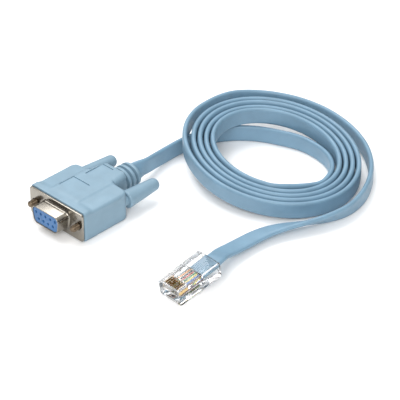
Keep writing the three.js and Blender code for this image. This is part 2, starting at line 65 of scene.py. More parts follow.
# Coil
COIL_TURNS = 5
COIL_PITCH = 2.95
COIL_CENTRE = (33.8, 90.9)
COIL_HALF_LENGTH = 39.7
COIL_HALF_BREADTH = 35.4
COIL_LIFT = 9.8
COIL_LIFT_DIRECTION = math.radians(170)
COIL_FIRST_ANGLE = 52
COIL_LAST_ANGLE = 4 * 360 + 184
LEAVING_ANGLE = 80
LEAVING_STEP = 2.1
COIL_ANGLE_STEP = 12
TURN_WAVER = 0.35
WAVER_RATE = 0.37
WAVER_START = 1.1

# Route of the cable's centre from the strain relief to the inside of the coil
SOCKET_LEAD_ROUTE = [
    (0, 41.2, 6.8),
    (0, 42.42, 6.8),
    (0, 45.5, 6.7),
    (-0.7, 51.5, 5.8),
    (-1.9, 58, 4.9),
    (-3, 65, 4.1),
    (-3.4, 73, 3.8),
    (-2.6, 81, 3.8),
    (0.6, 89.5, 3.8),
    (6, 97.5, 3.8),
    (13.2, 103.6, 3.8),
    (21.8, 107.8, 3.8),
    (31, 110.8, 3.8),
    (40.6, 110.8, 3.8),
    (49.2, 108.2, 3.8),
    (55.8, 102.8, 3.8),
    (59.2, 96.2, 3.8),
    (59.9, 89.8, 3.8),
]

# Route of the cable's centre from the outside of the coil to the modular plug
PLUG_LEAD_ROUTE = [
    (-5.6, 100.5, 13.3),
    (-4.2, 107.4, 12.6),
    (0.4, 115, 11.6),
    (7.8, 122.3, 10.3),
    (17, 127.8, 8.9),
    (28.2, 131, 7.2),
    (41, 130.4, 5.6),
    (53.2, 126, 4.5),
    (63.6, 118.2, 3.9),
    (71.6, 108, 3.8),
    (76.6, 97.2, 3.8),
    (78.2, 86.2, 3.8),
    (75.9, 76.6, 3.7),
    (71.9, 67.8, 3.6),
    (67.8, 60.2, 3.5),
    (65.2, 53, 3.5),
    (64.2, 46, 3.6),
    (64, 39, 3.9),
    (64.2, 33, 4.6),
    (64.8, 27.4, 5.7),
]

# Distances along the cable over which it turns between lying flat and standing on edge
SOCKET_END_FLAT = -5.0
SOCKET_END_ON_EDGE = 9.0
PLUG_END_ON_EDGE = 98.0
PLUG_END_FLAT = 30.0

# Modular plug in its own frame: front at 0, underside at 0, contacts up
PLUG_FRONT = (66.0, -1.6)
PLUG_YAW = math.radians(-2.5)
PLUG_LENGTH = 21.4
JACKET_CENTRE = 3.35
JACKET_REACH = 8.0
LATCH_REACH = 14.8
LATCH_DROP = 2.6
PLUG_PITCH = math.atan2(LATCH_DROP, LATCH_REACH)
PLUG_WIDTH = 11.68
PLUG_HEIGHT = 6.6
PLUG_BEVEL = 0.16
JACKET_ROOM = (8.5, 3.4)
CONDUCTOR_ROOM = (8.2, 1.1)
CONDUCTOR_FRONT = 1.4
CONTACT_PITCH_IN_PLUG = 1.02
CONTACT_SLOT = (0.6, 0.9, 5.8)
LATCH_ROOT = 1.6
LATCH_THICKNESS = 0.9
LATCH_WIDTH = 6.3
LATCH_TAIL_WIDTH = 3.3
LATCH_SHOULDER = 7.4
LATCH_RECESS = 1.15
LATCH_GAP = 0.3
LATCH_TOE = 0.7
LATCH_HEEL = 1.05
SHOULDER_LENGTH = 1.2
SHOULDER_STEP = 0.2
TAIL_END = 2.2
RECESS_FRONT = 0.4
PLUG_CLEARANCE = 0.3
ROOM_OVERLAP = 0.1

# Light
HORIZON_LIGHT = (0.16, 0.15, 0.14)
ZENITH_LIGHT = (1.0, 1.0, 1.0)
SURROUND_STRENGTH = 1.05
SKY_BAND = (0.25, 0.95)
LIGHT_AIM = (0.03, 0.03, 0)
KEY_PLACE = (-0.42, 0.2, 0.85)
KEY_SIZE = 0.7
KEY_ENERGY = 8.0
FILL_PLACE = (0.5, -0.5, 0.5)
FILL_SIZE = 0.5
FILL_ENERGY = 5.0
FLOOR_REACH = 3.0

# Base colours, as linear values
CABLE_BLUE = (0.16, 0.275, 0.375)
MOULDING_BLUE = (0.19, 0.295, 0.375)
NICKEL = (0.3, 0.28, 0.245)
SCREW_BRONZE = (0.17, 0.13, 0.09)
INSERT_BLUE = (0.04, 0.14, 0.33)
CONTACT_GOLD = (0.86, 0.6, 0.24)
CLEAR_TINT = (0.98, 0.985, 0.99)
CLEAR_IOR = 1.3
INSULATION = (
    (0.22, 0.26, 0.3), (0.62, 0.26, 0.06), (0.02, 0.02, 0.025), (0.45, 0.04, 0.03),
    (0.05, 0.27, 0.08), (0.68, 0.55, 0.1), (0.03, 0.12, 0.38), (0.16, 0.07, 0.03),
)

# Roughness of each look
JACKET_ROUGHNESS = 0.42
MOULDING_ROUGHNESS = 0.5
NICKEL_ROUGHNESS = 0.24
SCREW_ROUGHNESS = 0.3
INSERT_ROUGHNESS = 0.4
GOLD_ROUGHNESS = 0.22
INSULATION_ROUGHNESS = 0.42
FLOOR_ROUGHNESS = 0.8

# Noise of each look: scale and detail
CLOUD_NOISE = (140.0, 4.0)
GLOSS_NOISE = (420.0, 3.0)
GRAIN_NOISE = (2600.0, 2.0)
DULLING_NOISE = (260.0, 5.0)
DRAWN_NOISE = (900.0, 3.0)
HAZE_NOISE = (700.0, 2.0)
FLOW_NOISE = (380.0, 1.0)
FLOOR_NOISE = (30.0, 2.0)

# Strength of each bump, and its height in metres
GRAIN_BUMP = (0.3, 0.00002)
DRAWN_BUMP = (0.03, 0.000002)
FLOW_BUMP = (0.1, 0.00001)

# How far the looks vary
MOTTLE = 0.05
PLASTIC_GLOSS_DROP = 0.05
PLASTIC_GLOSS_RISE = 0.07
PLASTIC_SPECULAR = 0.45
PLATING_SHADES = (0.9, 1.06)
PLATING_GLOSS = (0.85, 1.2)
CLEAR_GLOSS = (0.01, 0.05)
FLOOR_SHADES = (0.93, 0.95)

# Moulded hood
AXIS_HEIGHT = 6.8
HOOD_HALF_WIDTH = 15.8
HOOD_FRONT = 1.2
HOOD_BACK = 25.0
HOOD_EDGE = 1.4
HOOD_FRONT_EDGE = 0.35
HOOD_BODY_FRONT = 2.0
HOOD_BACK_CORNER = 3.0
HOOD_BACK_EDGE = 1.2
RIDGE_START = (3.5, 6.5)
RIDGE_RISE = 0.25
RIDGE_FLANK = (6.9, 8.4)
SHOULDER_DROP = 0.75
NECK_HALF_WIDTH = 8.25
NECK_BACK_HALF_WIDTH = 6.7
NECK_START = 22.0
NECK_BACK = 33.0
NECK_CORNER = 2.4
NECK_FILLET = 0.5
NECK_EDGE = 1.1
BOOT_HALF_WIDTH = 5.8
BOOT_HALF_HEIGHT = 4.8
BOOT_BACK = 42.0
BOOT_EDGE = 0.8
BOOT_STEP = 0.3
GROOVES = (33.9, 36.5, 39.1)
GROOVE_WIDTH = 1.2
GROOVE_DEPTH = 1.6
GROOVE_LIP = 0.12
GROOVE_LIP_SOFT = GROOVE_LIP * 0.3
CROWN_FOOT = 2.0
LABEL_FLOOR = 13.45
# Each label recess: left, right, front, back
LABELS = ((-7.4, 2.4, 8.3, 16.5), (-5.6, 0.8, 21.2, 31.0))

INSERT_ROOM = ((-8.2, 0, 2.6), (8.2, 3.6, 11))
SEAT_DEPTH = 2.8
SEAT_CLEARANCE = 0.3
BORE_STOP = 23.0
PAST_SURFACE = 1

# Metal shell, insert and screws
PLATE_BEVEL = 0.12
FLANGE_CORNER = 1.0
FLANGE_WIDTH = 30.81
FLANGE_HEIGHT = 12.55
FLANGE_THICKNESS = 0.9
SHELL_WIDTH = 16.33
SHELL_HEIGHT = 7.9
SHELL_RADIUS = 2.4
SHELL_REACH = 5.9
SHELL_WALL = 0.45
SHELL_FLARE = 0.9
FLARE_SINK = 0.03
SHELL_SLANT = math.radians(10)
INSERT_INSET = 0.57
INSERT_FRONT = -5.65
INSERT_BACK = 3.1
CONTACT_PITCH = 2.77
CONTACT_ROW_PITCH = 2.84
MOUTH_RADIUS = 0.62
SCREW_X = 12.495
SCREW_HOLE_RADIUS = 1.65
SCREW_RADIUS = 1.42
SCREW_FRONT = -3.2
SCREW_BACK = 33.8
THREAD_PITCH = 0.635
THREAD_DEPTH = 0.3
THREAD_ROOT = 1.2
THREAD_SLOPE = 3.2
SCREW_TIP_CUT = 0.5
THREAD_BACK = 9.0
STEM_RADIUS = 2.4
STEM_BORE = SCREW_RADIUS + 0.3
STEM_FRONT = 22.3
GRIP_FRONT = 26.1
GRIP_BACK = 44.0
GRIP_RADII = (3.8, 2.7)
GRIP_LIP = 0.7
GRIP_END_ROUND = 2.2


def to_model(points):
    """Places measured in millimetres from the mating face, as metres in the model's frame."""
    shifted = np.array(points, dtype=float)
    shifted[..., 1] -= ORIGIN_BEHIND_FACE
    return shifted * MM


def smoothstep(value, low, high):
    t = np.clip((value - low) / (high - low), 0, 1)
    return t * t * (3 - 2 * t)


def add_camera():
    azimuth = math.radians(CAMERA_AZIMUTH)
    elevation = math.radians(CAMERA_ELEVATION)
    towards_camera = Vector((
        math.sin(azimuth) * math.cos(elevation),
        -math.cos(azimuth) * math.cos(elevation),
        math.sin(elevation),
    ))
    aim = Vector(to_model(CAMERA_AIM))
    data = bpy.data.cameras.new("photo_camera")
    data.sensor_width = CAMERA_SENSOR
    data.lens = CAMERA_LENS
    data.clip_start, data.clip_end = CAMERA_CLIP
    camera = bpy.data.objects.new("photo_camera", data)
    camera.location = aim + towards_camera * CAMERA_DISTANCE * MM
    camera.rotation_euler = (-towards_camera).to_track_quat("-Z", "Y").to_euler()
    bpy.context.scene.collection.objects.link(camera)
    bpy.context.scene.camera = camera


def mesh_piece(name, vertices, faces, body=BODY, material=None, smooth=True):
    """A new mesh object from metre coordinates that rides on a body."""
    mesh = bpy.data.meshes.new(name)
    mesh.from_pydata([tuple(v) for v in vertices], [], [tuple(f) for f in faces])
    mesh.validate()
    mesh.polygons.foreach_set("use_smooth", [smooth] * len(mesh.polygons))
    piece = bpy.data.objects.new(name, mesh)
    bpy.context.scene.collection.objects.link(piece)
    if material is not None:
        mesh.materials.append(material)
    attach(piece, body)
    return piece


def smooth_line(points, step):
    """A centripetal curve through the points, resampled at an even step."""
    points = np.array(points, dtype=float)
    padded = np.vstack([2 * points[0] - points[1], points, 2 * points[-1] - points[-2]])
    samples = []
    for i in range(1, len(padded) - 2):
        p0, p1, p2, p3 = padded[i - 1 : i + 3]
        t0 = 0.0
        t1 = t0 + np.linalg.norm(p1 - p0) ** 0.5
        t2 = t1 + np.linalg.norm(p2 - p1) ** 0.5
        t3 = t2 + np.linalg.norm(p3 - p2) ** 0.5
        for t in np.linspace(t1, t2, CURVE_SAMPLES, endpoint=False):
            a1 = (t1 - t) / (t1 - t0) * p0 + (t - t0) / (t1 - t0) * p1
            a2 = (t2 - t) / (t2 - t1) * p1 + (t - t1) / (t2 - t1) * p2
            a3 = (t3 - t) / (t3 - t2) * p2 + (t - t2) / (t3 - t2) * p3
            b1 = (t2 - t) / (t2 - t0) * a1 + (t - t0) / (t2 - t0) * a2
            b2 = (t3 - t) / (t3 - t1) * a2 + (t - t1) / (t3 - t1) * a3
            samples.append((t2 - t) / (t2 - t1) * b1 + (t - t1) / (t2 - t1) * b2)
    samples.append(padded[-2])
    samples = np.array(samples)
    along = np.concatenate([[0], np.cumsum(np.linalg.norm(np.diff(samples, axis=0), axis=1))])
    count = int(round(along[-1] / step)) + 1
    even = np.linspace(0, along[-1], count)
    line = np.stack([np.interp(even, along, samples[:, axis]) for axis in range(3)], axis=1)
    return line, even


def coil_tilt():
    return math.asin(COIL_LIFT / (2 * COIL_HALF_LENGTH))


def on_coil(x, y, z):
    """A place in the level coil's own frame, as it lies tilted on the cable below it."""
    direction = COIL_LIFT_DIRECTION
    tilt = coil_tilt()
    reach = math.hypot(COIL_HALF_LENGTH * math.cos(direction), COIL_HALF_BREADTH * math.sin(direction))
    hinge = Vector((-math.sin(direction), math.cos(direction), 0))
    place = Matrix.Rotation(-tilt, 3, hinge) @ Vector((x, y, z))
    return (place.x + COIL_CENTRE[0], place.y + COIL_CENTRE[1], place.z + reach * math.sin(tilt))


def coil_points():
    """Centres of the cable on its turns, from the innermost turn out, clockwise from above."""
    points = []
    inner_inset = (COIL_TURNS - 1) * COIL_PITCH
    for angle in np.arange(COIL_FIRST_ANGLE, COIL_LAST_ANGLE + 1, COIL_ANGLE_STEP):
        share = (angle - COIL_FIRST_ANGLE) / (COIL_LAST_ANGLE - COIL_FIRST_ANGLE)
        inset = inner_inset * (1 - share) + CABLE_THICKNESS / 2
        inset -= LEAVING_STEP * smoothstep(angle, COIL_LAST_ANGLE - LEAVING_ANGLE, COIL_LAST_ANGLE)
        turn = math.radians(-angle)
        waver = TURN_WAVER * math.sin(math.radians(angle) * WAVER_RATE + WAVER_START)
        points.append(on_coil(
            (COIL_HALF_LENGTH - inset) * math.cos(turn),
            (COIL_HALF_BREADTH - inset) * math.sin(turn),
            CABLE_WIDTH / 2 + waver * math.sin(math.radians(angle) / 2) ** 2,
        ))
    return points


def plug_matrix():
    """From the plug's own frame in millimetres to the measuring frame."""
    return (
        Matrix.Translation((PLUG_FRONT[0], PLUG_FRONT[1], 0))
        @ Matrix.Rotation(PLUG_YAW, 4, "Z")
        @ Matrix.Rotation(PLUG_PITCH, 4, "X")
    )


def plug_place(x, y, z):
    return tuple(plug_matrix() @ Vector((x, y, z)))


def cable_route():
    inside_plug = [
        plug_place(0, PLUG_LENGTH + JACKET_REACH / 3, JACKET_CENTRE),
        plug_place(0, PLUG_LENGTH - JACKET_REACH / 2, JACKET_CENTRE),
        plug_place(0, PLUG_LENGTH - JACKET_REACH, JACKET_CENTRE),
    ]
    return smooth_line(SOCKET_LEAD_ROUTE + coil_points() + PLUG_LEAD_ROUTE + inside_plug, CABLE_STEP)


def cable_section():
    """Outline of the jacket: rounded edges, and a shallow ripple over the conductors."""
    half_width = CABLE_WIDTH / 2
    half_thickness = CABLE_THICKNESS / 2
    flat = half_width - half_thickness
    across = np.linspace(flat, -flat, 33)
    ripple = JACKET_RIPPLE * (1 - np.cos(math.pi * (across + flat) / flat * CONDUCTORS)) / 2
    top = [(x, half_thickness - JACKET_RIPPLE + r) for x, r in zip(across, ripple)]
    round_angles = np.linspace(math.pi / 2, 3 * math.pi / 2, 9)[1:-1]
    left = [
        (-flat + half_thickness * math.cos(a), (half_thickness - JACKET_RIPPLE) * math.sin(a))
        for a in round_angles
    ]
    upper = top + left
    lower = [(-x, -y) for x, y in upper]
    return upper + lower


def flatness(along, length):
    """1 where the cable lies flat, 0 where it stands on edge."""
    at_socket = 1 - smoothstep(along, SOCKET_END_FLAT, SOCKET_END_ON_EDGE)
    at_plug = 1 - smoothstep(length - along, PLUG_END_FLAT, PLUG_END_ON_EDGE)
    return np.maximum(at_socket, at_plug)


def ribbon(line, along, section):
    """The section swept along the line, turned from on edge to flat."""
    tangents = np.gradient(line, axis=0)
    tangents /= np.linalg.norm(tangents, axis=1, keepdims=True)
    sideways = np.stack([-tangents[:, 1], tangents[:, 0], np.zeros(len(line))], axis=1)
    sideways /= np.linalg.norm(sideways, axis=1, keepdims=True)
    upright = np.cross(tangents, sideways)
    turn = flatness(along, along[-1]) * math.pi / 2
    wide = upright * np.cos(turn)[:, None] + sideways * np.sin(turn)[:, None]
    thin = np.cross(tangents, wide)
    section = np.array(section)
    rings = (
        line[:, None, :]
        + wide[:, None, :] * section[None, :, 0, None]
        + thin[:, None, :] * section[None, :, 1, None]
    )
    return rings.reshape(-1, 3), tube_faces(len(line), len(section))


def node_material(name):
    """A new node material, its node tree and its shader."""
    material = bpy.data.materials.new(name)
    material.use_nodes = True
    tree = material.node_tree
    return material, tree, tree.nodes["Principled BSDF"]


def noise(tree, scale, detail):
    """Noise in the object's own metres."""
    place = tree.nodes.new("ShaderNodeTexCoord")
    texture = tree.nodes.new("ShaderNodeTexNoise")
    texture.inputs["Scale"].default_value = scale
    texture.inputs["Detail"].default_value = detail
    tree.links.new(place.outputs["Object"], texture.inputs["Vector"])
    return texture.outputs["Fac"]


def ramp(tree, value, low, high, first, last):
    """A colour or value ramp from first at low to last at high."""
    node = tree.nodes.new("ShaderNodeValToRGB")
    node.color_ramp.elements[0].position = low
    node.color_ramp.elements[0].color = (*first, 1)
    node.color_ramp.elements[1].position = high
    node.color_ramp.elements[1].color = (*last, 1)
    tree.links.new(value, node.inputs["Fac"])
    return node.outputs["Color"]


def add_bump(tree, shader, height, strength, distance):
    bump = tree.nodes.new("ShaderNodeBump")
    bump.inputs["Strength"].default_value = strength
    bump.inputs["Distance"].default_value = distance
    tree.links.new(height, bump.inputs["Height"])
    tree.links.new(bump.outputs["Normal"], shader.inputs["Normal"])


def scaled(colour, factor):
    return tuple(min(1.0, channel * factor) for channel in colour)


def grey(value):
    return (value, value, value)


def moulded_plastic(name, colour, roughness):
    """Satin plastic with a fine moulded grain, faint clouding and uneven gloss."""
    material, tree, shader = node_material(name)
    clouds = noise(tree, *CLOUD_NOISE)
    tint = ramp(tree, clouds, 0.35, 0.65, scaled(colour, 1 - MOTTLE), scaled(colour, 1 + MOTTLE))
    tree.links.new(tint, shader.inputs["Base Color"])
    low = grey(roughness - PLASTIC_GLOSS_DROP)
    high = grey(roughness + PLASTIC_GLOSS_RISE)
    gloss = ramp(tree, noise(tree, *GLOSS_NOISE), 0.3, 0.7, low, high)
    tree.links.new(gloss, shader.inputs["Roughness"])
    add_bump(tree, shader, noise(tree, *GRAIN_NOISE), *GRAIN_BUMP)
    shader.inputs["Specular IOR Level"].default_value = PLASTIC_SPECULAR
    return material


def plated_metal(name, colour, roughness):
    """Plated metal with fine drawn marks and faint dulling."""
    material, tree, shader = node_material(name)
    shader.inputs["Metallic"].default_value = 1.0
    dark, light = (scaled(colour, shade) for shade in PLATING_SHADES)
    plating = ramp(tree, noise(tree, *DULLING_NOISE), 0.3, 0.7, dark, light)
    tree.links.new(plating, shader.inputs["Base Color"])
    marks = noise(tree, *DRAWN_NOISE)
    low, high = (grey(roughness * factor) for factor in PLATING_GLOSS)
    gloss = ramp(tree, marks, 0.3, 0.75, low, high)
    tree.links.new(gloss, shader.inputs["Roughness"])
    add_bump(tree, shader, marks, *DRAWN_BUMP)
    return material


def clear_plastic(name):
    """Clear moulded plastic with faint flow ripples."""
    material, tree, shader = node_material(name)
    shader.inputs["Base Color"].default_value = (*CLEAR_TINT, 1)
    shader.inputs["Transmission Weight"].default_value = 1.0
    shader.inputs["IOR"].default_value = CLEAR_IOR
    low, high = (grey(value) for value in CLEAR_GLOSS)
    gloss = ramp(tree, noise(tree, *HAZE_NOISE), 0.3, 0.7, low, high)
    tree.links.new(gloss, shader.inputs["Roughness"])
    add_bump(tree, shader, noise(tree, *FLOW_NOISE), *FLOW_BUMP)
    return material


def rounded_radius(angles, half_width, half_height, corner):
    """Distance from the centre to a rounded rectangle, along each angle."""
    c = np.maximum(np.abs(np.cos(angles)), 1e-9)
    s = np.maximum(np.abs(np.sin(angles)), 1e-9)
    inner_x = half_width - corner
    inner_z = half_height - corner
    side = half_width / c
    top = half_height / s
    along = inner_x * c + inner_z * s
    across = np.maximum(along ** 2 - (inner_x ** 2 + inner_z ** 2 - corner ** 2), 0)
    radius = along + np.sqrt(across)
    radius = np.where(side * s <= inner_z, side, radius)
    return np.where(top * c <= inner_x, top, radius)


def oval_radius(angles, half_width, half_height):
    return half_width * half_height / np.hypot(half_height * np.cos(angles), half_width * np.sin(angles))


def section_angles():
    """Angles that are dense at the corners of the hood and on the flanks of its ridge."""
    flat_half_width = HOOD_HALF_WIDTH - HOOD_EDGE
    flat_half_height = AXIS_HEIGHT - HOOD_EDGE
    top = [(x, AXIS_HEIGHT) for x in np.linspace(flat_half_width, -flat_half_width, 73)]
    bend = np.linspace(math.pi / 2, math.pi, 10)[1:-1]
    corner = [
        (-flat_half_width + HOOD_EDGE * math.cos(a), flat_half_height + HOOD_EDGE * math.sin(a))
        for a in bend
    ]
    side = [(-HOOD_HALF_WIDTH, z) for z in np.linspace(flat_half_height, -flat_half_height, 17)]
    half = top + corner + side + [(x, -z) for x, z in corner[::-1]]
    around = half + [(-x, -z) for x, z in half]
    return np.array([math.atan2(z, x) for x, z in around])


def crown(x, y):
    """Height that the ridge adds to the hood's top, and that its shoulders lose."""
    flank = smoothstep(np.abs(x), *RIDGE_FLANK)
    shoulder = smoothstep(np.abs(x), RIDGE_FLANK[1] - 1, HOOD_HALF_WIDTH)
    height = RIDGE_RISE * (1 - 2 * flank) - (SHOULDER_DROP - RIDGE_RISE) * shoulder
    return smoothstep(y, *RIDGE_START) * height


def neck_radius(angles, y, spread=0.0, edge=0.0):
    narrowing = (NECK_HALF_WIDTH - NECK_BACK_HALF_WIDTH) * smoothstep(y, NECK_START, NECK_BACK)
    half_width = NECK_HALF_WIDTH - narrowing + spread - edge
    return rounded_radius(angles, half_width, AXIS_HEIGHT - edge, NECK_CORNER)


def hood_sections():
    """(y, radius at each angle) along the hood, from its front face to the end of the strain relief."""
    angles = section_angles()
    quarter = math.pi / 2
    sections = []
    for turn in np.linspace(0, quarter, 4):
        inset = HOOD_FRONT_EDGE * (1 - math.sin(turn))
        y = HOOD_FRONT + HOOD_FRONT_EDGE * (1 - math.cos(turn))
        face = rounded_radius(angles, HOOD_HALF_WIDTH - inset, AXIS_HEIGHT - inset, HOOD_EDGE)
        sections.append((y, face))
    for y in np.linspace(HOOD_BODY_FRONT, HOOD_BACK - HOOD_BACK_CORNER, 41):
        sections.append((y, rounded_radius(angles, HOOD_HALF_WIDTH, AXIS_HEIGHT, HOOD_EDGE)))
    for turn in np.linspace(0, quarter, 15)[1:]:
        y = HOOD_BACK - HOOD_BACK_CORNER * (1 - math.sin(turn))
        inset_x = HOOD_BACK_CORNER * (1 - math.cos(turn))
        over = max(0.0, y - (HOOD_BACK - HOOD_BACK_EDGE))
        inset_z = HOOD_BACK_EDGE - math.sqrt(HOOD_BACK_EDGE ** 2 - over ** 2)
        box = rounded_radius(angles, HOOD_HALF_WIDTH - inset_x, AXIS_HEIGHT - inset_z, HOOD_EDGE)
        sections.append((y, np.maximum(box, neck_radius(angles, y))))
    for turn in np.linspace(0, quarter, 7):
        y = HOOD_BACK + NECK_FILLET * (1 - math.cos(turn))
        sections.append((y, neck_radius(angles, y, spread=NECK_FILLET * (1 - math.sin(turn)))))
    for y in np.linspace(HOOD_BACK + NECK_FILLET + 0.4, NECK_BACK - NECK_EDGE, 14):
        sections.append((y, neck_radius(angles, y)))
    for turn in np.linspace(0, quarter, 7)[1:]:
        y = NECK_BACK - NECK_EDGE * (1 - math.sin(turn))
        sections.append((y, neck_radius(angles, y, edge=NECK_EDGE * (1 - math.cos(turn)))))
    boot = oval_radius(angles, BOOT_HALF_WIDTH, BOOT_HALF_HEIGHT)
    sections.append((NECK_BACK, boot + BOOT_STEP))
    sections.append((NECK_BACK + BOOT_STEP, boot))
    for front in GROOVES:
        back = front + GROOVE_WIDTH
        sections += [
            (front - GROOVE_LIP, boot),
            (front - GROOVE_LIP_SOFT, boot - GROOVE_LIP_SOFT),
            (front, boot - GROOVE_LIP),
            (front + GROOVE_LIP, boot - GROOVE_DEPTH),
            (back - GROOVE_LIP, boot - GROOVE_DEPTH),
            (back, boot - GROOVE_LIP),
            (back + GROOVE_LIP_SOFT, boot - GROOVE_LIP_SOFT),
            (back + GROOVE_LIP, boot),
        ]
    for turn in np.linspace(0, quarter, 7):
        y = BOOT_BACK - BOOT_EDGE * (1 - math.sin(turn))
        sections.append((y, boot - BOOT_EDGE * (1 - math.cos(turn))))
    return angles, sections


def tube_faces(rings, count, closed_ends=True):
    """Quads between rings of count points each, with a many-sided face at either end."""
    faces = []
    for i in range(rings - 1):
        for j in range(count):
            k = (j + 1) % count
            faces.append((i * count + j, i * count + k, (i + 1) * count + k, (i + 1) * count + j))
    if closed_ends:
        faces.append(tuple(range(count - 1, -1, -1)))
        faces.append(tuple((rings - 1) * count + j for j in range(count)))
    return faces


def facing_out(piece):
    """Turns all faces to look outwards."""
    work = bmesh.new()
    work.from_mesh(piece.data)
    bmesh.ops.recalc_face_normals(work, faces=work.faces)
    work.to_mesh(piece.data)
    work.free()


def loft(name, rings, material, body=BODY, closed_ends=True):
    """A surface through rings of places in the measuring frame."""
    rings = np.array(rings)
    faces = tube_faces(len(rings), rings.shape[1], closed_ends)
    piece = mesh_piece(name, to_model(rings.reshape(-1, 3)), faces, body, material)
    facing_out(piece)
    return piece


def keep_edges(piece, degrees=32):
    piece.data.set_sharp_from_angle(angle=math.radians(degrees))


def cut(piece, cutters):
    """Takes the cutters out of a piece and deletes them."""
    for cutter in cutters:
        step = piece.modifiers.new("cut", "BOOLEAN")
        step.operation = "DIFFERENCE"
        step.solver = "EXACT"
        step.object = cutter
    settle(piece)
    for cutter in cutters:
        bpy.data.objects.remove(cutter)


def settle(piece):
    """Makes a piece's modifiers part of its mesh."""
    bpy.context.view_layer.update()
    graph = bpy.context.evaluated_depsgraph_get()
    made = bpy.data.meshes.new_from_object(piece.evaluated_get(graph))
    piece.modifiers.clear()
    piece.data = made


def round_edges(piece, width, segments=2, degrees=40):
    step = piece.modifiers.new("edges", "BEVEL")
    step.width = width * MM
    step.segments = segments
    step.limit_method = "ANGLE"
    step.angle_limit = math.radians(degrees)
    settle(piece)
    piece.data.polygons.foreach_set("use_smooth", [True] * len(piece.data.polygons))
    keep_edges(piece)


def raw_mesh(name, vertices, faces):
    """A loose mesh object for cutting, in the measuring frame."""
    mesh = bpy.data.meshes.new(name)
    mesh.from_pydata([tuple(v) for v in to_model(vertices)], [], faces)
    made = bpy.data.objects.new(name, mesh)
    bpy.context.scene.collection.objects.link(made)
    facing_out(made)
    return made


def block_points(low, high):
    (x0, y0, z0), (x1, y1, z1) = low, high
    return [
        (x0, y0, z0), (x1, y0, z0), (x1, y1, z0), (x0, y1, z0),
        (x0, y0, z1), (x1, y0, z1), (x1, y1, z1), (x0, y1, z1),
    ]


BLOCK_FACES = [(0, 3, 2, 1), (4, 5, 6, 7), (0, 1, 5, 4), (1, 2, 6, 5), (2, 3, 7, 6), (3, 0, 4, 7)]


def round_cutter(x, z, radius, front, back, sides=40):
    angles = np.linspace(0, 2 * math.pi, sides, endpoint=False)
    places = [
        (x + radius * math.cos(a), y, z + radius * math.sin(a)) for y in (front, back) for a in angles
    ]
    return raw_mesh("cutter", places, tube_faces(2, sides))


def block_cutter(low, high):
    return raw_mesh("cutter", block_points(low, high), BLOCK_FACES)


def add_hood(material):
    angles, sections = hood_sections()
    rings = []
    for y, radius in sections:
        x = radius * np.cos(angles)
        z = radius * np.sin(angles)
        if y <= NECK_BACK:
            z = z + crown(x, y) * smoothstep(z, CROWN_FOOT, AXIS_HEIGHT - HOOD_EDGE / 2)
        rings.append(np.stack([x, np.full(len(x), y), z + AXIS_HEIGHT], axis=1))
    hood = loft("hood", rings, material)
    cutters = [
        block_cutter((left, front, LABEL_FLOOR), (right, back, AXIS_HEIGHT * 3))
        for left, right, front, back in LABELS
    ]
    seat = STEM_RADIUS + SEAT_CLEARANCE
    bore_front = HOOD_FRONT - PAST_SURFACE
    for x in (-SCREW_X, SCREW_X):
        cutters.append(round_cutter(x, AXIS_HEIGHT, seat, HOOD_BACK - SEAT_DEPTH, HOOD_BACK + PAST_SURFACE))
        cutters.append(round_cutter(x, AXIS_HEIGHT, SCREW_HOLE_RADIUS, bore_front, BORE_STOP))
    cutters.append(block_cutter(*INSERT_ROOM))
    cut(hood, cutters)
    keep_edges(hood)
    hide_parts("moulded_hood")


def d_outline(inset, steps=8):
    """The socket's D outline about its own centre, wide side up, drawn in by the inset."""
    width = SHELL_WIDTH - 2 * inset
    height = SHELL_HEIGHT - 2 * inset
    radius = max(SHELL_RADIUS - inset, 0.3)
    narrowing = height * math.tan(SHELL_SLANT)
    corners = [
        (-width / 2 + narrowing, -height / 2), (width / 2 - narrowing, -height / 2),
        (width / 2, height / 2), (-width / 2, height / 2),
    ]
    return rounded_corners(corners, radius, steps)


def rounded_corners(corners, radius, steps=8):
    """A closed outline whose corners are arcs of about the radius."""
    outline = []
    for i, corner in enumerate(corners):
        corner = np.array(corner)
        before = np.array(corners[i - 1]) - corner
        after = np.array(corners[(i + 1) % len(corners)]) - corner
        before /= np.linalg.norm(before)
        after /= np.linalg.norm(after)
        half = math.acos(np.clip(before @ after, -1, 1)) / 2
        reach = radius / math.tan(half)
        centre = corner + (before + after) / np.linalg.norm(before + after) * radius / math.sin(half)
        start = corner + before * reach - centre
        end = corner + after * reach - centre
        sweep = math.pi - 2 * half
        for step in range(steps + 1):
            share = step / steps
            blend = math.sin((1 - share) * sweep) * start + math.sin(share * sweep) * end
            outline.append(tuple(centre + blend / math.sin(sweep)))
    return outline


def circle(x, z, radius, sides=28):
    return [
        (x + radius * math.cos(a), z + radius * math.sin(a))
        for a in np.linspace(0, 2 * math.pi, sides, endpoint=False)
    ]


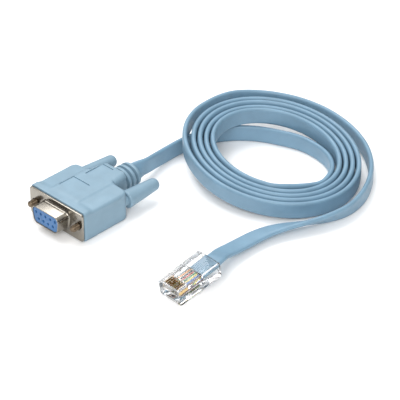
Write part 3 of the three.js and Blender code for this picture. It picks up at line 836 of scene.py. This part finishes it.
def plate(name, outlines, front, back, bevel, material, body=BODY):
    """A plate across Y with holes, from outlines about the connector's axis."""
    curve = bpy.data.curves.new(name, "CURVE")
    curve.dimensions = "2D"
    curve.fill_mode = "BOTH"
    curve.extrude = ((back - front) / 2 - bevel) * MM
    curve.bevel_depth = bevel * MM
    curve.bevel_resolution = 2
    curve.offset = -bevel * MM
    for outline in outlines:
        spline = curve.splines.new("POLY")
        spline.points.add(len(outline) - 1)
        for point, (x, z) in zip(spline.points, outline):
            point.co = (x * MM, z * MM, 0, 1)
        spline.use_cyclic_u = True
    drawn = bpy.data.objects.new(name, curve)
    bpy.context.scene.collection.objects.link(drawn)
    bpy.context.view_layer.update()
    mesh = bpy.data.meshes.new_from_object(drawn.evaluated_get(bpy.context.evaluated_depsgraph_get()))
    bpy.data.objects.remove(drawn)
    middle = Matrix.Translation(to_model((0, (front + back) / 2, AXIS_HEIGHT)))
    mesh.transform(middle @ Matrix.Rotation(math.pi / 2, 4, "X"))
    mesh.name = name
    mesh.materials.clear()
    mesh.materials.append(material)
    made = bpy.data.objects.new(name, mesh)
    bpy.context.scene.collection.objects.link(made)
    weld(made)
    mesh.polygons.foreach_set("use_smooth", [True] * len(mesh.polygons))
    keep_edges(made)
    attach(made, body)
    return made


def weld(piece, distance=0.000002):
    work = bmesh.new()
    work.from_mesh(piece.data)
    bmesh.ops.remove_doubles(work, verts=work.verts, dist=distance)
    bmesh.ops.recalc_face_normals(work, faces=work.faces)
    work.to_mesh(piece.data)
    work.free()


def add_front_shell(material):
    """The flange plate and the D-shaped shell drawn out of it, with a rolled rim."""
    half_width = FLANGE_WIDTH / 2
    half_height = FLANGE_HEIGHT / 2
    rectangle = [
        (-half_width, -half_height), (half_width, -half_height),
        (half_width, half_height), (-half_width, half_height),
    ]
    outlines = [
        rounded_corners(rectangle, FLANGE_CORNER), d_outline(SHELL_WALL),
        circle(-SCREW_X, 0, SCREW_HOLE_RADIUS), circle(SCREW_X, 0, SCREW_HOLE_RADIUS),
    ]
    flange = plate("flange", outlines, 0, FLANGE_THICKNESS, PLATE_BEVEL, material)
    rings = []

    def add_ring(inset, y):
        rings.append([(x, y, z + AXIS_HEIGHT) for x, z in d_outline(inset)])

    for turn in np.linspace(0, math.pi / 2, 7):
        add_ring(-SHELL_FLARE * (1 - math.sin(turn)), FLARE_SINK - SHELL_FLARE * (1 - math.cos(turn)))
    rim = SHELL_WALL / 2
    for turn in np.linspace(0, math.pi, 9):
        add_ring(rim * (1 - math.cos(turn)), -SHELL_REACH + rim - rim * math.sin(turn))
    add_ring(SHELL_WALL, FLANGE_THICKNESS / 2)
    add_ring(0, FLANGE_THICKNESS / 2)
    shell = loft("d_shell", rings, material, closed_ends=False)
    keep_edges(shell, 50)
    for piece in (flange, shell):
        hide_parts("front_shell")


def contact_places():
    places = []
    for count, z in ((5, CONTACT_ROW_PITCH / 2), (4, -CONTACT_ROW_PITCH / 2)):
        places += [((i - (count - 1) / 2) * CONTACT_PITCH, z) for i in range(count)]
    return places


def add_insert(material):
    outlines = [d_outline(INSERT_INSET)]
    outlines += [circle(x, z, MOUTH_RADIUS, 20) for x, z in contact_places()]
    insert = plate("insert", outlines, INSERT_FRONT, INSERT_BACK, PLATE_BEVEL, material)
    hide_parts("socket_insert")


def grip_profile():
    """(radius, y) of the grip with its stem, from the stem's front to the rounded back end."""
    wide, narrow = GRIP_RADII
    taper_back = GRIP_BACK - GRIP_END_ROUND
    profile = [(STEM_BORE, STEM_FRONT), (STEM_RADIUS, STEM_FRONT), (STEM_RADIUS, GRIP_FRONT)]
    for t in np.linspace(0, math.pi / 2, 6):
        profile.append((wide - GRIP_LIP * (1 - math.sin(t)), GRIP_FRONT + GRIP_LIP * (1 - math.cos(t))))
    for y in np.linspace(GRIP_FRONT + GRIP_LIP, taper_back, 14)[1:]:
        profile.append((wide + (narrow - wide) * (y - GRIP_FRONT) / (taper_back - GRIP_FRONT), y))
    for t in np.linspace(0, math.pi / 2, 10)[1:]:
        radius = narrow - GRIP_END_ROUND * (1 - math.cos(t))
        profile.append((radius, taper_back + GRIP_END_ROUND * math.sin(t)))
    return profile


def thread_radii(y, turns):
    """Radius of the screw at each angle: a groove that winds along its thread, and a cut tip."""
    phase = (y / THREAD_PITCH + turns / (2 * math.pi)) % 1
    depth = np.clip(THREAD_ROOT - np.abs(phase - 0.5) * THREAD_SLOPE, 0, 1)
    groove = THREAD_DEPTH * depth * (y < THREAD_BACK)
    return np.minimum(SCREW_RADIUS - groove, SCREW_RADIUS - SCREW_TIP_CUT + (y - SCREW_FRONT))


def add_thumbscrew(side, x, grip_material, screw_material):
    """A smooth tapered grip on its stem, and the threaded screw that runs through the hood."""
    body = f"thumbscrew_{side}"
    angles = np.linspace(0, 2 * math.pi, 64, endpoint=False)
    rings = [
        [(x + radius * math.cos(a), y, AXIS_HEIGHT + radius * math.sin(a)) for a in angles]
        for radius, y in grip_profile()
    ]
    grip = loft(f"grip_{side}", rings, grip_material, body)
    keep_edges(grip, 45)
    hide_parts(f"thumbscrew_grip_{side}")
    turns = np.linspace(0, 2 * math.pi, 32, endpoint=False)
    threaded = list(np.arange(SCREW_FRONT, THREAD_BACK, THREAD_PITCH / 8))
    rings = []
    for y in threaded + [THREAD_BACK + THREAD_DEPTH, SCREW_BACK]:
        radii = thread_radii(y, turns)
        places = (x + radii * np.cos(turns), np.full(len(turns), y), AXIS_HEIGHT + radii * np.sin(turns))
        rings.append(np.stack(places, axis=1))
    screw = loft(f"screw_{side}", rings, screw_material, body)
    keep_edges(screw, 40)
    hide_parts(f"jackscrew_{side}")


def in_plug(vertices):
    """Places in the plug's own frame, moved to the measuring frame."""
    return [plug_place(*vertex) for vertex in vertices]


def plug_cutter(low, high):
    return raw_mesh("cutter", in_plug(block_points(low, high)), BLOCK_FACES)


def add_plug_housing(material):
    """The clear housing with its rooms, contact slots and latch recess."""
    half = PLUG_WIDTH / 2
    vertices = in_plug(block_points((-half, 0, 0), (half, PLUG_LENGTH, PLUG_HEIGHT)))
    housing = mesh_piece("plug_body", to_model(vertices), BLOCK_FACES, BODY, material, smooth=False)
    facing_out(housing)
    jacket_front = PLUG_LENGTH - JACKET_REACH - PLUG_CLEARANCE
    room_x, room_z = JACKET_ROOM[0] / 2, JACKET_ROOM[1] / 2
    wire_x, wire_z = CONDUCTOR_ROOM[0] / 2, CONDUCTOR_ROOM[1] / 2
    latch_x = LATCH_WIDTH / 2 + PLUG_CLEARANCE
    behind = PLUG_LENGTH + PAST_SURFACE
    above = PLUG_HEIGHT + PAST_SURFACE
    cutters = [
        plug_cutter(
            (-room_x, jacket_front, JACKET_CENTRE - room_z),
            (room_x, behind, JACKET_CENTRE + room_z),
        ),
        plug_cutter(
            (-wire_x, CONDUCTOR_FRONT, JACKET_CENTRE - wire_z),
            (wire_x, jacket_front + ROOM_OVERLAP, JACKET_CENTRE + wire_z),
        ),
        plug_cutter(
            (-latch_x, RECESS_FRONT, -PAST_SURFACE),
            (latch_x, LATCH_REACH + PAST_SURFACE, LATCH_RECESS),
        ),
    ]
    slot_width, slot_front, slot_back = CONTACT_SLOT
    for i in range(CONDUCTORS):
        x = (i - (CONDUCTORS - 1) / 2) * CONTACT_PITCH_IN_PLUG
        cutters.append(plug_cutter(
            (x - slot_width / 2, slot_front, JACKET_CENTRE), (x + slot_width / 2, slot_back, above),
        ))
    cut(housing, cutters)
    round_edges(housing, PLUG_BEVEL)
    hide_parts("plug_housing")


def add_plug_latch(material):
    """The sprung latch: a wide root with shoulders, then a narrower tail."""
    root_top = LATCH_RECESS - LATCH_GAP
    rows = [
        (LATCH_ROOT - LATCH_THICKNESS, root_top, LATCH_THICKNESS * LATCH_TOE, LATCH_WIDTH),
        (LATCH_ROOT, root_top, LATCH_THICKNESS, LATCH_WIDTH),
        (LATCH_SHOULDER - SHOULDER_LENGTH, None, LATCH_THICKNESS, LATCH_WIDTH),
        (LATCH_SHOULDER, None, LATCH_THICKNESS * LATCH_HEEL, LATCH_WIDTH),
        (LATCH_SHOULDER + SHOULDER_STEP, None, LATCH_THICKNESS, LATCH_TAIL_WIDTH),
        (LATCH_REACH - TAIL_END, None, LATCH_THICKNESS, LATCH_TAIL_WIDTH),
        (LATCH_REACH, None, LATCH_THICKNESS, LATCH_TAIL_WIDTH),
    ]
    tail_top = -LATCH_DROP + LATCH_THICKNESS
    rings = []
    for y, top, thickness, width in rows:
        if top is None:
            top = root_top + (tail_top - root_top) * (y - LATCH_ROOT) / (LATCH_REACH - LATCH_ROOT)
        half = width / 2
        under = top - thickness
        rings.append(in_plug([(-half, y, top), (half, y, top), (half, y, under), (-half, y, under)]))
    latch = loft("plug_clip", rings, material, "latch")
    round_edges(latch, PLUG_BEVEL)
    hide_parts("plug_latch")


def dress_small_parts():
    """Materials for the contacts and conductors, which keep their own shapes."""
    gold = plated_metal("contact_gold", CONTACT_GOLD, GOLD_ROUGHNESS)
    for name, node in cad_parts.items():
        look = None
        if name.startswith(("socket_contact", "plug_contact")):
            look = gold
        if name.startswith("conductor"):
            number = int(name.rsplit("_", 1)[1])
            look = moulded_plastic(f"insulation_{number}", INSULATION[number - 1], INSULATION_ROUGHNESS)
        if look is not None:
            node.data.materials.clear()
            node.data.materials.append(look)


def add_cable(material):
    line, along = cable_route()
    vertices, faces = ribbon(line, along, cable_section())
    cable = mesh_piece("flat_cable", to_model(vertices), faces, material=material)
    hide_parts("cable_lead_socket", "cable_coil", "cable_lead_plug")
    on_plug = ["plug_body", "plug_clip"]
    on_plug += [f"plug_contact_{i}" for i in range(1, CONDUCTORS + 1)]
    on_plug += [f"conductor_{i}" for i in range(1, CONDUCTORS + 1)]
    tuple(to_model(SOCKET_LEAD_ROUTE[0]))
    [tuple(p) for p in to_model(line)]


def floor_material():
    material, tree, shader = node_material("white_floor")
    low, high = (grey(value) for value in FLOOR_SHADES)
    shade = ramp(tree, noise(tree, *FLOOR_NOISE), 0.3, 0.7, low, high)
    tree.links.new(shade, shader.inputs["Base Color"])
    shader.inputs["Roughness"].default_value = FLOOR_ROUGHNESS
    return material


def add_floor():
    mesh = bpy.data.meshes.new("floor")
    corners = [(-1, -1), (1, -1), (1, 1), (-1, 1)]
    mesh.from_pydata([(x * FLOOR_REACH, y * FLOOR_REACH, 0) for x, y in corners], [], [(0, 1, 2, 3)])
    floor = bpy.data.objects.new("floor", mesh)
    mesh.materials.append(floor_material())
    bpy.context.scene.collection.objects.link(floor)


def add_surround():
    """A studio surround that is bright overhead and dim near the horizon."""
    world = bpy.data.worlds.new("studio_surround")
    world.use_nodes = True
    tree = world.node_tree
    background = tree.nodes["Background"]
    place = tree.nodes.new("ShaderNodeTexCoord")
    split = tree.nodes.new("ShaderNodeSeparateXYZ")
    tree.links.new(place.outputs["Generated"], split.inputs["Vector"])
    sky = ramp(tree, split.outputs["Z"], *SKY_BAND, HORIZON_LIGHT, ZENITH_LIGHT)
    tree.links.new(sky, background.inputs["Color"])
    background.inputs["Strength"].default_value = SURROUND_STRENGTH
    bpy.context.scene.world = world
    bpy.context.scene.view_settings.view_transform = "Standard"


def add_area_light(name, place, aim, size, energy):
    data = bpy.data.lights.new(name, "AREA")
    data.energy = energy
    data.size = size
    lamp = bpy.data.objects.new(name, data)
    lamp.location = place
    lamp.rotation_euler = (Vector(aim) - lamp.location).to_track_quat("-Z", "Y").to_euler()
    bpy.context.scene.collection.objects.link(lamp)


def add_lights():
    add_surround()
    add_area_light("key", KEY_PLACE, LIGHT_AIM, KEY_SIZE, KEY_ENERGY)
    add_area_light("fill", FILL_PLACE, LIGHT_AIM, FILL_SIZE, FILL_ENERGY)


add_camera()
clear = clear_plastic("clear_plug")
add_plug_housing(clear)
add_plug_latch(clear)
add_cable(moulded_plastic("jacket", CABLE_BLUE, JACKET_ROUGHNESS))
moulding = moulded_plastic("moulding", MOULDING_BLUE, MOULDING_ROUGHNESS)
nickel = plated_metal("nickel", NICKEL, NICKEL_ROUGHNESS)
bronze = plated_metal("screw_bronze", SCREW_BRONZE, SCREW_ROUGHNESS)
add_hood(moulding)
add_front_shell(nickel)
add_insert(moulded_plastic("insert", INSERT_BLUE, INSERT_ROUGHNESS))
add_thumbscrew("left", -SCREW_X, moulding, bronze)
add_thumbscrew("right", SCREW_X, moulding, bronze)
dress_small_parts()
add_floor()
add_lights()
